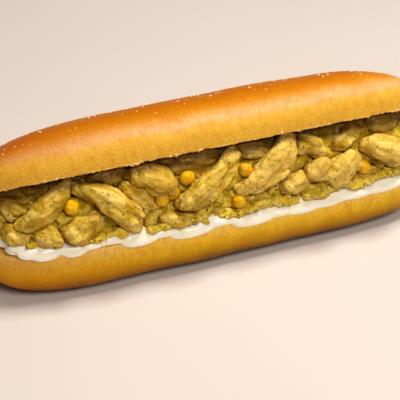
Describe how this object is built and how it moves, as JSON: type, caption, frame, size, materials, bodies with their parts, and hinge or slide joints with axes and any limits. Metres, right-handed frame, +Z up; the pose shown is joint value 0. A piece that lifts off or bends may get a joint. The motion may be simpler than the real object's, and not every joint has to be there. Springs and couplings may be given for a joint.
{
  "type": "chicken sandwich",
  "caption": "Long split bread roll lying on its flat base, its top leaning back over a filling of chicken pieces, sweetcorn and herb mash on a layer of mayonnaise.",
  "frame": {"origin": "middle of the base of the sandwich's box, on the surface that it rests on", "axes": "+X along the roll, -Y towards the open front, +Z up"},
  "size_m": [0.303, 0.0858, 0.0967],
  "materials": {
    "crust": "soft baked crust with a slight sheen",
    "mayonnaise": "glossy cream",
    "chicken": "moist cooked meat with herbs",
    "sweetcorn": "glossy kernel",
    "herb_mash": "moist lumpy mash"
  },
  "bodies": {
    "root": {"bread_crown": "crust", "bread_heel": "crust", "chicken_01": "chicken", "chicken_02": "chicken", "chicken_03": "chicken", "chicken_04": "chicken", "chicken_05": "chicken", "chicken_06": "chicken", "chicken_07": "chicken", "chicken_08": "chicken", "chicken_09": "chicken", "chicken_10": "chicken", "chicken_11": "chicken", "chicken_12": "chicken", "chicken_13": "chicken", "chicken_14": "chicken", "chicken_15": "chicken", "chicken_16": "chicken", "chicken_17": "chicken", "chicken_18": "chicken", "chicken_19": "chicken", "chicken_20": "chicken", "chicken_21": "chicken", "chicken_22": "chicken", "chicken_23": "chicken", "chicken_24": "chicken", "chicken_25": "chicken", "chicken_26": "chicken", "chicken_27": "chicken", "chicken_28": "chicken", "chicken_29": "chicken", "chicken_30": "chicken", "chicken_31": "chicken", "chicken_32": "chicken", "chicken_33": "chicken", "corn_01": "sweetcorn", "corn_02": "sweetcorn", "corn_03": "sweetcorn", "corn_04": "sweetcorn", "corn_05": "sweetcorn", "corn_06": "sweetcorn", "corn_07": "sweetcorn", "corn_08": "sweetcorn", "corn_09": "sweetcorn", "corn_10": "sweetcorn", "herb_mash": "herb_mash", "mayonnaise": "mayonnaise"}
  },
  "joints": []
}
